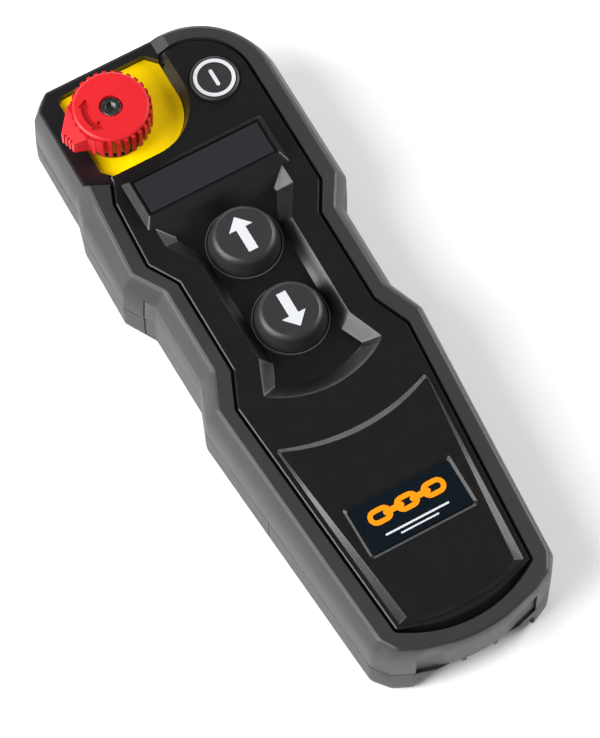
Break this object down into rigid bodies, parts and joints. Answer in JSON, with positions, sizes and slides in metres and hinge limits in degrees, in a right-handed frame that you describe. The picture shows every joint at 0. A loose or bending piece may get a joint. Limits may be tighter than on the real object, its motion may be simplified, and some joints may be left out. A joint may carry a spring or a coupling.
{
  "type": "wireless hoist remote",
  "caption": "Hand-held wireless remote for a chain hoist, with waisted housing, red emergency-stop knob, raised display, power key and thumb keys for raise and lower.",
  "frame": {"origin": "middle of the object's box, on the flat back it lies on", "axes": "+Z out of the face with the keys, +Y towards the emergency-stop end, +X to the right seen from the front"},
  "size_m": [0.0732, 0.2048, 0.0424],
  "materials": {
    "housing_plastic": "soft-touch dark grey, fine spark texture",
    "face_plastic": "near-black satin, fine texture",
    "black_plastic": "semi-gloss black",
    "grip_rubber": "matt moulded rubber",
    "seal_rubber": "smooth black rubber",
    "key_rubber": "satin silicone rubber",
    "yellow_plate": "semi-gloss signal yellow",
    "red_plastic": "satin signal red",
    "grey_plastic": "satin grey",
    "white_plastic": "satin natural white",
    "white_print": "matt white ink",
    "steel": "zinc plated",
    "black_steel": "black oxide",
    "contact_metal": "nickel plated spring strip",
    "shield_metal": "tinned shield can",
    "brass": "turned and knurled",
    "cell_sleeve": "plain printed sleeve",
    "window_glass": "smoked gloss window",
    "display_grey": "dark switched-off display",
    "ribbon_film": "amber film",
    "board_green": "solder mask",
    "chip_black": "moulded epoxy",
    "ceramic": "fired ceramic",
    "label_print": "laminated dark label"
  },
  "bodies": {
    "housing": {"front_housing": "housing_plastic", "rear_housing": "housing_plastic", "face_plate": "face_plastic", "face_seal": "seal_rubber", "housing_seal": "seal_rubber", "battery_cradle": "black_plastic", "battery_cells": "cell_sleeve", "battery_contacts": "contact_metal", "right_front_grip": "grip_rubber", "left_front_grip": "grip_rubber", "right_rear_grip": "grip_rubber", "left_rear_grip": "grip_rubber", "estop_guard": "black_plastic", "estop_legend_plate": "yellow_plate", "estop_collar": "black_plastic", "estop_ring_nut": "steel", "estop_contact_block": "grey_plastic", "up_switch": "grey_plastic", "up_button_ring": "black_plastic", "down_switch": "grey_plastic", "down_button_ring": "black_plastic", "power_switch": "grey_plastic", "display_window": "window_glass", "display_seal": "seal_rubber", "display_module": "display_grey", "display_ribbon": "ribbon_film", "main_circuit_board": "board_green", "board_screws": "steel", "controller_chip": "chip_black", "radio_module": "shield_metal", "antenna": "ceramic", "buzzer": "chip_black", "battery_plug": "white_plastic", "ribbon_plug": "white_plastic", "name_label": "label_print", "rating_label": "label_print", "housing_screws": "steel", "threaded_inserts": "brass"},
    "battery_cover": {"battery_cover": "housing_plastic"},
    "cover_latch": {"cover_latch": "black_plastic"},
    "estop_slider": {"estop_slider": "white_plastic", "estop_spring": "steel"},
    "estop_knob": {"estop_stem": "steel", "estop_knob": "red_plastic", "estop_knob_screw": "black_steel"},
    "power_button": {"power_button": "key_rubber", "power_symbol": "white_print"},
    "up_button": {"up_button": "key_rubber", "up_arrow": "white_print", "up_plunger": "white_plastic", "up_spring": "steel"},
    "down_button": {"down_button": "key_rubber", "down_arrow": "white_print", "down_plunger": "white_plastic", "down_spring": "steel"}
  },
  "joints": [
    {"name": "battery_cover_slide", "type": "slide", "parent": "housing", "child": "battery_cover", "axis": [0, -1, 0], "range_m": [0, 0.057]},
    {"name": "cover_latch_slide", "type": "slide", "parent": "housing", "child": "cover_latch", "axis": [0, 1, 0], "range_m": [0, 0.003], "stiffness_N_per_m": 200, "springref_m": -0.002},
    {"name": "estop_press", "type": "slide", "parent": "housing", "child": "estop_slider", "axis": [0, 0, 1], "range_m": [-0.0028, 0], "stiffness_N_per_m": 900, "springref_m": 0.003, "deforming": ["estop_spring"]},
    {"name": "estop_turn", "type": "hinge", "parent": "estop_slider", "child": "estop_knob", "pos_m": [-0.0151, 0.0828, 0.033], "axis": [0, 0, 1], "range_deg": [-30, 30], "stiffness_Nm_per_rad": 0.05},
    {"name": "power_press", "type": "slide", "parent": "housing", "child": "power_button", "axis": [0, 0, 1], "range_m": [-0.001, 0], "stiffness_N_per_m": 900, "springref_m": 0.001},
    {"name": "up_press", "type": "slide", "parent": "housing", "child": "up_button", "axis": [0, 0, 1], "range_m": [-0.0025, 0], "stiffness_N_per_m": 500, "springref_m": 0.002, "deforming": ["up_spring"]},
    {"name": "down_press", "type": "slide", "parent": "housing", "child": "down_button", "axis": [0, 0, 1], "range_m": [-0.0025, 0], "stiffness_N_per_m": 500, "springref_m": 0.002, "deforming": ["down_spring"]}
  ]
}
